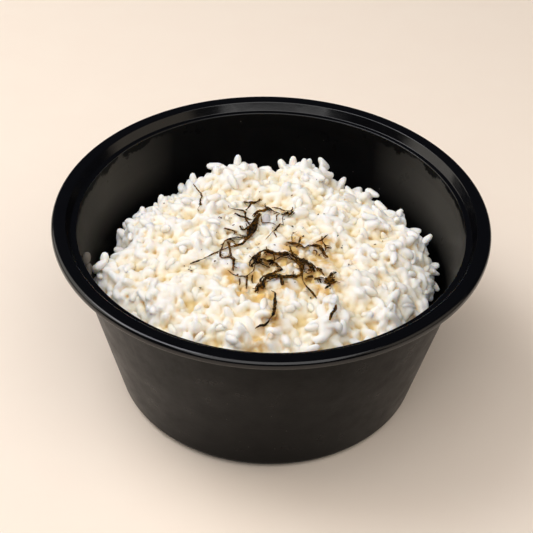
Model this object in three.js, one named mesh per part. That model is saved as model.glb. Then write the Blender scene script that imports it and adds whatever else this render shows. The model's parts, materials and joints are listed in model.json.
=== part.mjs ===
// A takeaway bowl of sticky rice with shredded nori on top, in millimetres.
// The origin is the middle of the bowl's base on the surface that it stands on, and +Z is up.
// -Y is the side that is nearest to a person who looks at the bowl, and +X is on their right.
import * as THREE from "three";

// ---- Driving dimensions of the bowl ----
const RIM_RADIUS = 80; // outside of the rolled rim
const BOWL_HEIGHT = 74;
const RIM_FACE_INNER_RADIUS = 74.7; // inner edge of the flat top face of the rim
const RIM_ROLL_RADIUS = 1.5; // rounding of the rim's outer edge
const RIM_FACE_ROUNDING = 0.5; // rounding of the top face's inner edge
const RIM_LIP_DEPTH = 2.8; // how far the rolled edge hangs down
const RIM_LIP_BEVEL = 0.5; // slant at the foot of the rolled edge
const SHEET = 1.2; // thickness of the moulded wall
const LEDGE_DEPTH = 3; // the lid ledge lies this far below the rim's top face
const LEDGE_OUTER_RADIUS = 73.1;
const LEDGE_INNER_RADIUS = 71.1;
const LEDGE_ROUNDING = 0.4; // rounding of the ledge's inner edge
const BAND_BLEND = 1; // height over which the upright band under the ledge eases into the leaning wall
const BASE_LINE_RADIUS = 56.75; // where the straight outer wall would meet the surface below
const WALL_SLOPE = 0.2418; // how far the wall leans out for each millimetre of height
const BASE_CORNER_RADIUS = 5.4; // rounding from the wall to the base, outside
const FLOOR_CORNER_RADIUS = 5; // the same inside
const FOOT_RING_INNER_RADIUS = 49;
const FOOT_RECESS = 1; // the base inside the foot ring is this far off the surface
const BOWL_SIDES = 64;

// ---- Driving dimensions of the rice ----
const CLEARANCE = 0.3; // between the rice and the bowl
const HEAP_TOP = 65; // general level of the heap's top
const HEAP_ROOT = 34; // level at which the heap's rounded side would stand upright
const HEAP_RADIUS = 66.2; // mean radius there
const HEAP_DRIFT = { x: -0.6, y: -2.2 }; // the heap leans towards the front and a little to the left
const HEAP_OVAL = { straight: -0.8, slanted: 1.2 }; // how far it is out of round
const HEAP_SQUARENESS = 5.5; // how flat the top is, and how short its rounded shoulder
const HOLLOW = { x: 3, y: -6, depth: 1.5, spread: 14 }; // shallow dip under the nori
const RELIEF = 0.45; // height of each of the waves that cross to make the fine lumps
const RELIEF_WAVES = [
  { x: 0.5, y: 0.1, phase: 0 },
  { x: -0.28, y: 0.52, phase: 1.3 },
  { x: -0.22, y: -0.44, phase: 2.6 },
]; // turns of each wave, in radians for each millimetre
const HEAP_RINGS = 20; // rings of points from the middle of the heap to the wall
const RING_CROWDING = 0.9; // below 1, the rings crowd a little more towards the steep side

// Clumps that stand up from the heap, and dips between them, near its edge.
const CLUMPS = [
  { bearing: 68, reach: 51, height: 5, spread: 5 },
  { bearing: 82, reach: 52, height: 6.5, spread: 3.5 },
  { bearing: 106, reach: 50, height: 3.5, spread: 6 },
  { bearing: 119, reach: 50, height: 2, spread: 6 },
  { bearing: 165, reach: 58, height: 5, spread: 4 },
  { bearing: 196, reach: 60, height: 4, spread: 5 },
  { bearing: 300, reach: 48, height: 2, spread: 7 },
  { bearing: 0, reach: 58, height: 3, spread: 6 },
  { bearing: 33, reach: 51, height: -5, spread: 5 },
  { bearing: 47, reach: 48, height: -6, spread: 5.5 },
  { bearing: 59, reach: 49, height: -8, spread: 5 },
  { bearing: 92, reach: 50, height: -5, spread: 4 },
  { bearing: 138, reach: 48, height: -6, spread: 6 },
];

// ---- Driving dimensions of the nori ----
const NORI_LIFT = 0.8; // between the rice and the nori that lies on it
const NORI_STEPS = 5; // steps across a piece, and along it for each given point
const NORI_EDGE_SHARE = 0.25; // thickness at the long edges, as a share of the full thickness
const NORI_TAPER = 0.35; // how bluntly a piece narrows to its ends, from 0 for square to 1 for slender

// Each piece lies along a path on the rice, x and y only. Tangles are wide, single shreds narrow.
const NORI = [
  {
    name: "nori_back_tangle",
    path: [
      [-19, -12],
      [-10, -6],
      [-6.5, 3],
      [-3, 13],
      [7, 12.5],
    ],
    halfWidth: 2.6,
    thickness: 2,
  },
  {
    name: "nori_front_tangle",
    path: [
      [-14, -25],
      [-6, -20],
      [2, -18],
      [10, -20],
      [21, -26],
    ],
    halfWidth: 5.2,
    thickness: 2.4,
  },
  {
    name: "nori_right_twig",
    path: [
      [6.3, -5.5],
      [14, -7.9],
      [20.5, -12.5],
    ],
    halfWidth: 1.1,
    thickness: 1,
  },
  {
    name: "nori_left_shred",
    path: [
      [-30.5, 34],
      [-26.8, 22.2],
      [-27.3, 11.3],
    ],
    halfWidth: 0.5,
    thickness: 0.5,
  },
  {
    name: "nori_tail_shred",
    path: [
      [-31.5, -18.6],
      [-27, -16.8],
      [-22.5, -14.8],
    ],
    halfWidth: 0.7,
    thickness: 0.6,
  },
  {
    name: "nori_front_shred",
    path: [
      [1.4, -34.4],
      [1.8, -40.2],
      [0, -48],
      [-4.4, -50.4],
    ],
    halfWidth: 0.8,
    thickness: 0.6,
  },
  {
    name: "nori_slant_shred",
    path: [
      [13, -29.6],
      [16.8, -36],
    ],
    halfWidth: 0.5,
    thickness: 0.5,
  },
  {
    name: "nori_short_shred",
    path: [
      [23.8, -38],
      [21.4, -44.3],
    ],
    halfWidth: 0.7,
    thickness: 0.6,
  },
];

// ---- Materials ----
const blackPlastic = new THREE.MeshStandardMaterial({ color: 0x121214, roughness: 0.32, metalness: 0 });
const cookedRice = new THREE.MeshStandardMaterial({ color: 0xf6f0e2, roughness: 0.45, metalness: 0 });
const driedNori = new THREE.MeshStandardMaterial({ color: 0x2a2210, roughness: 0.6, metalness: 0 });

// ---- Shared shapes ----

// Points of an arc from one angle to another, in degrees, in the plane of a lathe profile.
function arc(centreR, centreZ, radius, from, to, steps) {
  const points = [];
  for (let i = 0; i <= steps; i += 1) {
    const angle = THREE.MathUtils.degToRad(from + ((to - from) * i) / steps);
    points.push(new THREE.Vector2(centreR + radius * Math.cos(angle), centreZ + radius * Math.sin(angle)));
  }
  return points;
}

// A closed solid from rings of equally many points: a first point, the rings in order, a last point.
function solidFromRings(first, rings, last) {
  const sides = rings[0].length;
  const positions = [first, ...rings.flat(), last].flatMap((p) => [p.x, p.y, p.z]);
  const at = (ring, side) => 1 + ring * sides + (side % sides);
  const end = 1 + rings.length * sides;
  const faces = [];
  for (let side = 0; side < sides; side += 1) {
    faces.push(0, at(0, side), at(0, side + 1));
    for (let ring = 0; ring + 1 < rings.length; ring += 1) {
      faces.push(at(ring, side), at(ring + 1, side), at(ring + 1, side + 1));
      faces.push(at(ring, side), at(ring + 1, side + 1), at(ring, side + 1));
    }
    faces.push(at(rings.length - 1, side), end, at(rings.length - 1, side + 1));
  }
  const geometry = new THREE.BufferGeometry();
  geometry.setAttribute("position", new THREE.Float32BufferAttribute(positions, 3));
  geometry.setIndex(faces);
  geometry.computeVertexNormals();
  return geometry;
}

// ---- The bowl ----

const leanAngle = THREE.MathUtils.radToDeg(Math.atan(WALL_SLOPE));
const wallStretch = Math.hypot(1, WALL_SLOPE); // horizontal thickness of a wall that leans, over its sheet
const floorTop = FOOT_RECESS + SHEET;

const outerWallRadius = (z) => BASE_LINE_RADIUS + WALL_SLOPE * z;
const innerWallRadius = (z) => outerWallRadius(z) - SHEET * wallStretch;
const innerWallHeight = (radius) => (radius + SHEET * wallStretch - BASE_LINE_RADIUS) / WALL_SLOPE;

// Centre radius of a corner that rounds from a level floor into the leaning wall.
const cornerCentre = (wallRadiusAtFloor, radius) => wallRadiusAtFloor - radius * (wallStretch - WALL_SLOPE);

function bowlProfile() {
  const flangeUnderside = BOWL_HEIGHT - SHEET;
  const lipBottom = BOWL_HEIGHT - RIM_LIP_DEPTH;
  const ledgeLevel = BOWL_HEIGHT - LEDGE_DEPTH;
  const rollCentre = RIM_RADIUS - RIM_ROLL_RADIUS;
  const faceEdgeCentre = RIM_FACE_INNER_RADIUS + RIM_FACE_ROUNDING;
  const ledgeEdgeCentre = LEDGE_INNER_RADIUS + LEDGE_ROUNDING;
  const outerCorner = cornerCentre(BASE_LINE_RADIUS, BASE_CORNER_RADIUS);
  const innerCorner = cornerCentre(innerWallRadius(floorTop), FLOOR_CORNER_RADIUS);
  const bandFoot = innerWallHeight(LEDGE_INNER_RADIUS);
  return [
    new THREE.Vector2(0, FOOT_RECESS),
    new THREE.Vector2(FOOT_RING_INNER_RADIUS - FOOT_RECESS, FOOT_RECESS),
    new THREE.Vector2(FOOT_RING_INNER_RADIUS, 0),
    ...arc(outerCorner, BASE_CORNER_RADIUS, BASE_CORNER_RADIUS, -90, -leanAngle, 5),
    new THREE.Vector2(outerWallRadius(flangeUnderside), flangeUnderside),
    new THREE.Vector2(RIM_RADIUS - SHEET, flangeUnderside),
    new THREE.Vector2(RIM_RADIUS - SHEET, lipBottom),
    new THREE.Vector2(RIM_RADIUS - RIM_LIP_BEVEL, lipBottom),
    ...arc(rollCentre, BOWL_HEIGHT - RIM_ROLL_RADIUS, RIM_ROLL_RADIUS, 0, 90, 5),
    ...arc(faceEdgeCentre, BOWL_HEIGHT - RIM_FACE_ROUNDING, RIM_FACE_ROUNDING, 90, 150, 2),
    new THREE.Vector2(LEDGE_OUTER_RADIUS, ledgeLevel),
    ...arc(ledgeEdgeCentre, ledgeLevel - LEDGE_ROUNDING, LEDGE_ROUNDING, 90, 180, 2),
    new THREE.Vector2(LEDGE_INNER_RADIUS, bandFoot + BAND_BLEND),
    new THREE.Vector2(innerWallRadius(bandFoot - BAND_BLEND), bandFoot - BAND_BLEND),
    ...arc(innerCorner, floorTop + FLOOR_CORNER_RADIUS, FLOOR_CORNER_RADIUS, -leanAngle, -90, 4),
    new THREE.Vector2(0, floorTop),
  ];
}

function makeBowl() {
  const bowl = new THREE.Mesh(new THREE.LatheGeometry(bowlProfile(), BOWL_SIDES), blackPlastic);
  bowl.name = "bowl";
  bowl.rotation.x = Math.PI / 2; // a lathe turns about Y, and the bowl's axis is Z
  return bowl;
}

// ---- The rice ----

// Radius of the heap at its root, which is a little out of round.
function heapRadius(bearing) {
  const drift = HEAP_DRIFT.x * Math.cos(bearing) + HEAP_DRIFT.y * Math.sin(bearing);
  const oval = HEAP_OVAL.straight * Math.cos(2 * bearing) + HEAP_OVAL.slanted * Math.sin(2 * bearing);
  return HEAP_RADIUS + drift + oval;
}

const bump = (x, y, centreX, centreY, spread) =>
  Math.exp(-((x - centreX) ** 2 + (y - centreY) ** 2) / (2 * spread ** 2));

// Height of the heap's surface over a point: a flat dome with clumps, dips and fine lumps.
function heapHeight(x, y) {
  const share = Math.min(Math.hypot(x, y) / heapRadius(Math.atan2(y, x)), 1);
  const dome = Math.sqrt(1 - share ** HEAP_SQUARENESS);
  let rise = HEAP_TOP - HEAP_ROOT - HOLLOW.depth * bump(x, y, HOLLOW.x, HOLLOW.y, HOLLOW.spread);
  for (const clump of CLUMPS) {
    const bearing = THREE.MathUtils.degToRad(clump.bearing);
    const centreX = clump.reach * Math.cos(bearing);
    const centreY = clump.reach * Math.sin(bearing);
    rise += clump.height * bump(x, y, centreX, centreY, clump.spread);
  }
  for (const wave of RELIEF_WAVES) rise += RELIEF * Math.sin(wave.x * x + wave.y * y + wave.phase);
  return HEAP_ROOT + dome * rise;
}

// Radius at which the heap's surface meets the inner wall, on one bearing.
function contactRadius(bearing) {
  let inside = 0;
  let outside = heapRadius(bearing);
  for (let halving = 0; halving < 40; halving += 1) {
    const radius = (inside + outside) / 2;
    const surface = heapHeight(radius * Math.cos(bearing), radius * Math.sin(bearing));
    if (surface > innerWallHeight(radius + CLEARANCE * wallStretch)) inside = radius;
    else outside = radius;
  }
  return inside;
}

function ringAt(radiusOf, heightOf) {
  const ring = [];
  for (let side = 0; side < BOWL_SIDES; side += 1) {
    const bearing = (2 * Math.PI * side) / BOWL_SIDES;
    const radius = radiusOf(bearing);
    const x = radius * Math.cos(bearing);
    const y = radius * Math.sin(bearing);
    ring.push(new THREE.Vector3(x, y, heightOf(x, y, radius)));
  }
  return ring;
}

function makeRice() {
  const rings = [];
  for (let i = 1; i <= HEAP_RINGS; i += 1) {
    const share = Math.sin((Math.PI / 2) * (i / HEAP_RINGS)) ** RING_CROWDING;
    rings.push(ringAt((bearing) => share * contactRadius(bearing), (x, y) => heapHeight(x, y)));
  }
  const floorLevel = floorTop + CLEARANCE;
  const cornerRadius = FLOOR_CORNER_RADIUS - CLEARANCE;
  const centre = cornerCentre(innerWallRadius(floorTop), FLOOR_CORNER_RADIUS);
  for (const point of arc(centre, floorLevel + cornerRadius, cornerRadius, -leanAngle, -90, 3)) {
    rings.push(ringAt(() => point.x, () => point.y));
  }
  const top = new THREE.Vector3(0, 0, heapHeight(0, 0));
  const bottom = new THREE.Vector3(0, 0, floorLevel);
  const rice = new THREE.Mesh(solidFromRings(top, rings, bottom), cookedRice);
  rice.name = "rice";
  return rice;
}

// ---- The nori ----

// A piece that lies along a path on the rice: lens-shaped across, tapered to both ends.
function makeNori({ name, path, halfWidth, thickness }) {
  const spine = new THREE.CatmullRomCurve3(path.map(([x, y]) => new THREE.Vector3(x, y, 0)));
  const stations = (path.length - 1) * NORI_STEPS;
  const layer = (x, y, share) => heapHeight(x, y) + NORI_LIFT + share * thickness;
  const rings = [];
  for (let i = 1; i < stations; i += 1) {
    const along = i / stations;
    const middle = spine.getPointAt(along);
    const tangent = spine.getTangentAt(along);
    const taper = Math.sin(Math.PI * along) ** NORI_TAPER;
    const crown = (side) => NORI_EDGE_SHARE + (1 - NORI_EDGE_SHARE) * taper * Math.sqrt(1 - side ** 2);
    const across = (side) => ({
      x: middle.x - side * halfWidth * taper * tangent.y,
      y: middle.y + side * halfWidth * taper * tangent.x,
    });
    const ring = [];
    for (let step = 0; step < NORI_STEPS; step += 1) {
      const side = (2 * step) / NORI_STEPS - 1;
      const { x, y } = across(side);
      ring.push(new THREE.Vector3(x, y, layer(x, y, crown(side))));
    }
    for (let step = 0; step < NORI_STEPS; step += 1) {
      const { x, y } = across(1 - (2 * step) / NORI_STEPS);
      ring.push(new THREE.Vector3(x, y, layer(x, y, 0)));
    }
    rings.push(ring);
  }
  const tip = (along) => {
    const point = spine.getPointAt(along);
    return new THREE.Vector3(point.x, point.y, layer(point.x, point.y, NORI_EDGE_SHARE));
  };
  const nori = new THREE.Mesh(solidFromRings(tip(0), rings, tip(1)), driedNori);
  nori.name = name;
  return nori;
}

// ---- The part ----

const part = new THREE.Group();
part.add(makeBowl());
part.add(makeRice());
for (const piece of NORI) part.add(makeNori(piece));

export default part;
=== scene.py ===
# %% [markdown]
# # Bowl of sticky rice with shredded nori
# Cooked short-grain rice is heaped in a round black takeaway bowl, and dry shreds of roasted seaweed lie
# on top. The CAD frame gives the bowl, the outline of the heap and the places of the nori. This lesson
# turns them into a moulded bowl, some thousands of grains and crinkled shreds.

# %% Load the CAD frame
import json
import math

import bmesh
import bpy
import numpy as np
from mathutils import Euler, Matrix, Vector
from mathutils.bvhtree import BVHTree

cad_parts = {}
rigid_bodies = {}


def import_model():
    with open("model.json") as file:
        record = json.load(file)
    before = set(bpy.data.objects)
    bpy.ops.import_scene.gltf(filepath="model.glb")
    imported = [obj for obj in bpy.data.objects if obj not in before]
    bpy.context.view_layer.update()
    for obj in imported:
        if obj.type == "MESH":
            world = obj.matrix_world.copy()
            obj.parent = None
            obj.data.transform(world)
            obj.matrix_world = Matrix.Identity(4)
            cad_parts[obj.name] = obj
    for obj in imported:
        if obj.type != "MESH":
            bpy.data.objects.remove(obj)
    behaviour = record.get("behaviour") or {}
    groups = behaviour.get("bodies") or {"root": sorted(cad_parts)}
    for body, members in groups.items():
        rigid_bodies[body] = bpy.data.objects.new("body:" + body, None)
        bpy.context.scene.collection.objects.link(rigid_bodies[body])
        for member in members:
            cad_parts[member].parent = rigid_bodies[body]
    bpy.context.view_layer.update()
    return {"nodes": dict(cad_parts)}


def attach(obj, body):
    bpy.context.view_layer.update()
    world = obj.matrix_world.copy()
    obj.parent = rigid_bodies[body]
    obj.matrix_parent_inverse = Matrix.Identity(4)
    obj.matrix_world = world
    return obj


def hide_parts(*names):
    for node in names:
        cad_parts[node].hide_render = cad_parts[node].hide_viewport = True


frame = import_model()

MM = 0.001  # sizes below are in millimetres, as on a drawing, and Blender works in metres
scene = bpy.context.scene
print("CAD nodes:", sorted(frame["nodes"]))

# %% [markdown]
# ## The camera
# Food is often photographed from about 40 degrees above the level with a longish lens, so that the bowl
# looks round and its far side isn't much smaller. A camera fitted to the bowl's rim, ledge and base gave
# the place and the three angles below. The view is rolled by nearly two degrees, as hand-held views are.
# An object shows only once it is linked to a collection, so a short function makes one and links it.

# %% Camera
def new_object(name, data):
    """An object at the origin, linked to the scene."""
    made = bpy.data.objects.new(name, data)
    scene.collection.objects.link(made)
    return made


CAMERA_PLACE = Vector((0, -416.07, 389.93)) * MM
CAMERA_DOWN = math.radians(39.326)
CAMERA_YAW = math.radians(0.178)
CAMERA_ROLL = math.radians(1.819)
CAMERA_LENS = 96.61
NEAREST_SEEN = 10

camera_data = bpy.data.cameras.new("camera")
camera_data.lens = CAMERA_LENS
camera_data.clip_start = NEAREST_SEEN * MM
camera = new_object("camera", camera_data)
turn = Matrix.Rotation(CAMERA_YAW, 4, "Z")
tip = Matrix.Rotation(math.pi / 2 - CAMERA_DOWN, 4, "X")
roll = Matrix.Rotation(CAMERA_ROLL, 4, "Z")
camera.matrix_world = Matrix.Translation(CAMERA_PLACE) @ turn @ tip @ roll
scene.camera = camera
print("camera looks down by", round(math.degrees(CAMERA_DOWN), 1), "degrees")

# %% [markdown]
# ## Helpers for node trees
# Materials and Geometry Nodes are both made of nodes, so one function adds a node of any kind, sets its
# options and fills or links its inputs. Colours are written as the hex values that a painter reads off a
# screen, and shaders work in linear light, so another function turns one into the other.

# %% Node and colour helpers
def fill(tree, node, inputs):
    """Fills inputs of a node: one that is given a socket is linked to it, and any other value is set."""
    for key, value in inputs.items():
        if isinstance(value, bpy.types.NodeSocket):
            tree.links.new(value, node.inputs[key])
        else:
            node.inputs[key].default_value = value


def add(tree, kind, inputs=None, **options):
    """Adds a node with its options, and fills its inputs."""
    node = tree.nodes.new(kind)
    for name, value in options.items():
        setattr(node, name, value)
    fill(tree, node, inputs or {})
    return node


def colour(code):
    """An sRGB hex value as a linear colour with alpha."""
    channels = [int(code[place:place + 2], 16) / 255 for place in (1, 3, 5)]
    linear = [c / 12.92 if c <= 0.04045 else ((c + 0.055) / 1.055) ** 2.4 for c in channels]
    return (*linear, 1.0)


def set_stops(ramp, stops):
    """Gives a colour ramp its stops, from {position: hex value} in rising order."""
    elements = ramp.color_ramp.elements
    elements.remove(elements[1])
    for index, (position, code) in enumerate(stops.items()):
        stop = elements[0] if index == 0 else elements.new(position)
        stop.position = position
        stop.color = colour(code)


def make_material(name):
    """A new material with its node tree and its Principled shader."""
    material = bpy.data.materials.new(name)
    material.use_nodes = True
    tree = material.node_tree
    return material, tree, tree.nodes["Principled BSDF"]


# %% [markdown]
# ## The studio
# The bowl stands on a plain pale surface in warm beige. A large soft window light comes from the left
# and a little from behind, with a smaller and bluer pane above it. A wide ceiling light in front keeps
# the shadows open, and a pale wall at the right throws a little warm light back. The rest of the room is
# dim and slightly blue at the back, which the glossy rim shows. The world is a gradient on the direction
# alone, so that every other view is lit in the same way.

# %% Floor
FLOOR_SIZE = 4000
MOTTLE_SIZE = 1000 / 45  # the roller leaves 45 spots to the metre


def painted_board():
    """Beige paint, rolled on board: matt, with a very faint mottling from the roller."""
    material, tree, shader = make_material("painted_board")
    place = add(tree, "ShaderNodeTexCoord").outputs["Object"]
    mottle = add(tree, "ShaderNodeTexNoise", {
        "Vector": place, "Scale": 1 / (MOTTLE_SIZE * MM), "Detail": 4.0})
    tone = add(tree, "ShaderNodeValToRGB", {"Fac": mottle.outputs["Fac"]})
    set_stops(tone, {0.0: "#FAEADA", 1.0: "#FCEEDE"})
    fill(tree, shader, {"Base Color": tone.outputs["Color"], "Roughness": 0.85})
    return material


half = FLOOR_SIZE / 2 * MM
floor_corners = [(-half, -half, 0), (half, -half, 0), (half, half, 0), (-half, half, 0)]
floor_mesh = bpy.data.meshes.new("floor")
floor_mesh.from_pydata(floor_corners, [], [(0, 1, 2, 3)])
floor_mesh.materials.append(painted_board())
floor = new_object("floor", floor_mesh)
print("floor:", FLOOR_SIZE, "mm square")


# %% Lights and world
LIGHT_AIM = Vector((0, 0, 40))


def soft_light(name, place, size, power, tint):
    """A square area light at place, in millimetres, that shines at the bowl."""
    data = bpy.data.lights.new(name, "AREA")
    data.size = size * MM
    data.energy = power
    data.color = colour(tint)[:3]
    aim = (LIGHT_AIM - Vector(place)).to_track_quat("-Z", "Y").to_matrix().to_4x4()
    new_object(name, data).matrix_world = Matrix.Translation(Vector(place) * MM) @ aim


soft_light("window", (-760, 250, 600), 860, 3.8, "#FFF8EC")
soft_light("high_pane", (-450, 100, 900), 500, 3.6, "#F6F8FF")
soft_light("ceiling", (0, -600, 1300), 1500, 15.0, "#FFFDFC")
soft_light("pale_wall", (900, -200, 600), 900, 2.0, "#FFEFD8")

world = bpy.data.worlds.new("room")
world.use_nodes = True
room = world.node_tree
direction = add(room, "ShaderNodeTexCoord").outputs["Generated"]
split = add(room, "ShaderNodeSeparateXYZ", {"Vector": direction})
behind = add(room, "ShaderNodeMapRange", {"Value": split.outputs["Y"], "From Min": -0.2, "From Max": 0.7})
shade = add(room, "ShaderNodeValToRGB", {"Fac": behind.outputs["Result"]})
set_stops(shade, {0.0: "#2A2A2C", 1.0: "#2C2F36"})
fill(room, room.nodes["Background"], {"Color": shade.outputs["Color"]})
scene.world = world
scene.view_settings.view_transform = "Standard"
print("studio:", len(bpy.data.lights), "soft lights and a dim room")

# %% [markdown]
# ## The bowl
# The real bowl is injection moulded in black polypropylene: one sheet of about 1.2 mm with a rolled rim
# that stiffens it, a flat face for the lid, and a ledge 3 mm down on which the lid's plug sits. As every
# section through its axis is the same, it is drawn once as an outline and turned. The CAD bowl has the
# same sizes with few sides. Here each corner is a true arc and there are 192 sides, so that highlights
# run clean.

# %% Bowl sizes
RIM_RADIUS = 80.0
BOWL_HEIGHT = 74.0
RIM_FACE_INNER_RADIUS = 74.7
RIM_ROLL_RADIUS = 1.5
RIM_LIP_DEPTH = 2.8
FACE_EDGE_ROUNDING = 0.5
STEP_LEAN = 25  # how far the step from the rim face down to the ledge leans, in degrees
SHEET = 1.2
LEDGE_DEPTH = 3.0
LEDGE_OUTER_RADIUS = 73.1
LEDGE_INNER_RADIUS = 71.1
LEDGE_ROUNDING = 0.4
BAND_BLEND = 1.0
BASE_LINE_RADIUS = 56.75
WALL_SLOPE = 0.2418
BASE_CORNER_RADIUS = 5.4
FLOOR_CORNER_RADIUS = 5.0
FOOT_RING_INNER_RADIUS = 49.0
FOOT_RECESS = 1.0
BOWL_SIDES = 192
SHARP_ANGLE = 40

lean = math.degrees(math.atan(WALL_SLOPE))
stretch = math.hypot(1, WALL_SLOPE)
floor_top = FOOT_RECESS + SHEET


def outer_wall(z):
    """Radius of the outside of the wall at a height."""
    return BASE_LINE_RADIUS + WALL_SLOPE * z


def inner_wall(z):
    """Radius of the inside of the wall at a height."""
    return outer_wall(z) - SHEET * stretch


print("bowl: the wall leans out by", round(lean, 1), "degrees")

# %% Bowl outline
def arc(centre, radius, start, end, steps):
    """Points of an arc in the outline, from one angle in degrees to another."""
    angles = np.radians(np.linspace(start, end, steps + 1))
    return [(centre[0] + radius * math.cos(a), centre[1] + radius * math.sin(a)) for a in angles]


def corner_centre(wall_radius_at_floor, radius):
    """Radius of the centre of a corner that rounds from a level floor into the leaning wall."""
    return wall_radius_at_floor - radius * (stretch - WALL_SLOPE)


def bowl_outline():
    """The outline of a section, from the middle of the underside round to the middle of the floor."""
    flange_underside = BOWL_HEIGHT - SHEET
    lip_bottom = BOWL_HEIGHT - RIM_LIP_DEPTH
    ledge = BOWL_HEIGHT - LEDGE_DEPTH
    lip_half = SHEET / 2
    roll_centre = (RIM_RADIUS - RIM_ROLL_RADIUS, BOWL_HEIGHT - RIM_ROLL_RADIUS)
    face_edge = (RIM_FACE_INNER_RADIUS + FACE_EDGE_ROUNDING, BOWL_HEIGHT - FACE_EDGE_ROUNDING)
    ledge_corner = (LEDGE_OUTER_RADIUS - LEDGE_ROUNDING, ledge + LEDGE_ROUNDING)
    ledge_edge = (LEDGE_INNER_RADIUS + LEDGE_ROUNDING, ledge - LEDGE_ROUNDING)
    base_corner = (corner_centre(BASE_LINE_RADIUS, BASE_CORNER_RADIUS), BASE_CORNER_RADIUS)
    floor_corner_centre = corner_centre(inner_wall(floor_top), FLOOR_CORNER_RADIUS)
    floor_corner = (floor_corner_centre, floor_top + FLOOR_CORNER_RADIUS)
    band_foot = (LEDGE_INNER_RADIUS + SHEET * stretch - BASE_LINE_RADIUS) / WALL_SLOPE
    return [
        (0, FOOT_RECESS),
        (FOOT_RING_INNER_RADIUS - FOOT_RECESS, FOOT_RECESS),
        (FOOT_RING_INNER_RADIUS, 0),
        *arc(base_corner, BASE_CORNER_RADIUS, -90, -lean, 12),
        (outer_wall(flange_underside - 1), flange_underside - 1),
        (outer_wall(flange_underside) + 1, flange_underside),
        (RIM_RADIUS - SHEET, flange_underside),
        *arc((RIM_RADIUS - lip_half, lip_bottom + lip_half), lip_half, 180, 360, 8),
        *arc(roll_centre, RIM_ROLL_RADIUS, 0, 90, 12),
        *arc(face_edge, FACE_EDGE_ROUNDING, 90, 180 - STEP_LEAN, 5),
        *arc(ledge_corner, LEDGE_ROUNDING, -STEP_LEAN, -90, 4),
        *arc(ledge_edge, LEDGE_ROUNDING, 90, 180, 5),
        (LEDGE_INNER_RADIUS, band_foot + BAND_BLEND),
        (inner_wall(band_foot - BAND_BLEND), band_foot - BAND_BLEND),
        *arc(floor_corner, FLOOR_CORNER_RADIUS, -lean, -90, 10),
        (0, floor_top),
    ]


# %% Turning an outline
def mesh_of(form, name):
    """The mesh of a bmesh, which is freed."""
    mesh = bpy.data.meshes.new(name)
    form.to_mesh(mesh)
    form.free()
    return mesh


def turned_mesh(name, outline, sides):
    """A solid of revolution about Z: the outline's first and last points lie on the axis."""
    form = bmesh.new()
    points = [form.verts.new((r * MM, 0, z * MM)) for r, z in outline]
    edges = [form.edges.new(pair) for pair in zip(points, points[1:])]
    bmesh.ops.spin(form, geom=points + edges, axis=(0, 0, 1), cent=(0, 0, 0), angle=2 * math.pi, steps=sides)
    bmesh.ops.remove_doubles(form, verts=form.verts, dist=0.01 * MM)
    bmesh.ops.recalc_face_normals(form, faces=form.faces)
    mesh = mesh_of(form, name)
    mesh.shade_smooth()
    mesh.set_sharp_from_angle(angle=math.radians(SHARP_ANGLE))
    return mesh


# %% [markdown]
# ## Black polypropylene, satin
# Moulded polypropylene copies the steel mould, and the walls of this one were blasted to a satin finish.
# The bowl was pushed out of its mould upwards, which leaves faint upright streaks outside. Inside, the
# hot rice has left a thin dull film of starch below the ledge at the left and the right, with a ragged
# edge and some dried specks. Its grey is also a painted reflection of the bright rice in the side walls.
# The plastic's index of refraction is about 1.49, and the blasted skin spreads its gloss so far that
# hardly any shows except at a glancing angle, so the specular level is low.

# %% Satin walls
PLASTIC_IOR = 1.49
STREAK_WIDTH = 1.4
STREAK_LENGTH = 26.0
PEBBLE_SIZE = 0.7  # the blasting is finer than this, and wouldn't show in the picture
PATCH_SIZE = 9.0
SPECK_SPACING = 2.6
# Bounds of the starch film, which is also a painted reflection of the rice on the inner wall.
FILM_AND_REFLECTION_FROM = 40.0
FILM_AND_REFLECTION_FULL = 64.0
FILM_AND_REFLECTION_FOOT = 45.0
FILM_AND_REFLECTION_FADE = 12.0
FILM_AND_REFLECTION_TOP = 69.0
FILM_AND_REFLECTION_RAGGEDNESS = 14.0
SATIN_RELIEF = 0.014


def film_and_reflection_mask(tree, axes, patch):
    """Where the starch layer and the painted reflection of the rice lie: far left and far right, inside only,
    fading out below, ragged above.
    """
    flat = add(tree, "ShaderNodeCombineXYZ", {"X": axes["X"], "Y": axes["Y"]}).outputs["Vector"]
    reach = add(tree, "ShaderNodeVectorMath", {0: flat}, operation="LENGTH").outputs["Value"]
    foot_reach = add(tree, "ShaderNodeMath", {
        0: axes["Z"], 1: -WALL_SLOPE, 2: reach}, operation="MULTIPLY_ADD")
    inside = add(tree, "ShaderNodeMath", {
        0: foot_reach.outputs["Value"], 1: (BASE_LINE_RADIUS - SHEET / 2) * MM}, operation="LESS_THAN")
    side = add(tree, "ShaderNodeMath", {0: axes["X"]}, operation="ABSOLUTE").outputs["Value"]
    sideways = add(tree, "ShaderNodeMapRange", {
        "Value": side, "From Min": FILM_AND_REFLECTION_FROM * MM, "From Max": FILM_AND_REFLECTION_FULL * MM})
    ragged = add(tree, "ShaderNodeMath", {
        0: patch, 1: -FILM_AND_REFLECTION_RAGGEDNESS * MM, 2: axes["Z"]}, operation="MULTIPLY_ADD").outputs["Value"]
    middle = FILM_AND_REFLECTION_TOP - FILM_AND_REFLECTION_RAGGEDNESS / 2
    below_top = add(tree, "ShaderNodeMapRange", {
        "Value": ragged, "From Min": middle * MM, "From Max": (middle - 1) * MM})
    above_foot = add(tree, "ShaderNodeMapRange", {
        "Value": axes["Z"], "From Min": FILM_AND_REFLECTION_FOOT * MM, "From Max": (FILM_AND_REFLECTION_FOOT + FILM_AND_REFLECTION_FADE) * MM})
    film_and_reflection = inside.outputs["Value"]
    for limit in (sideways, below_top, above_foot):
        film_and_reflection = add(tree, "ShaderNodeMath", {
            0: film_and_reflection, 1: limit.outputs["Result"]}, operation="MULTIPLY").outputs["Value"]
    return film_and_reflection


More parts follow.
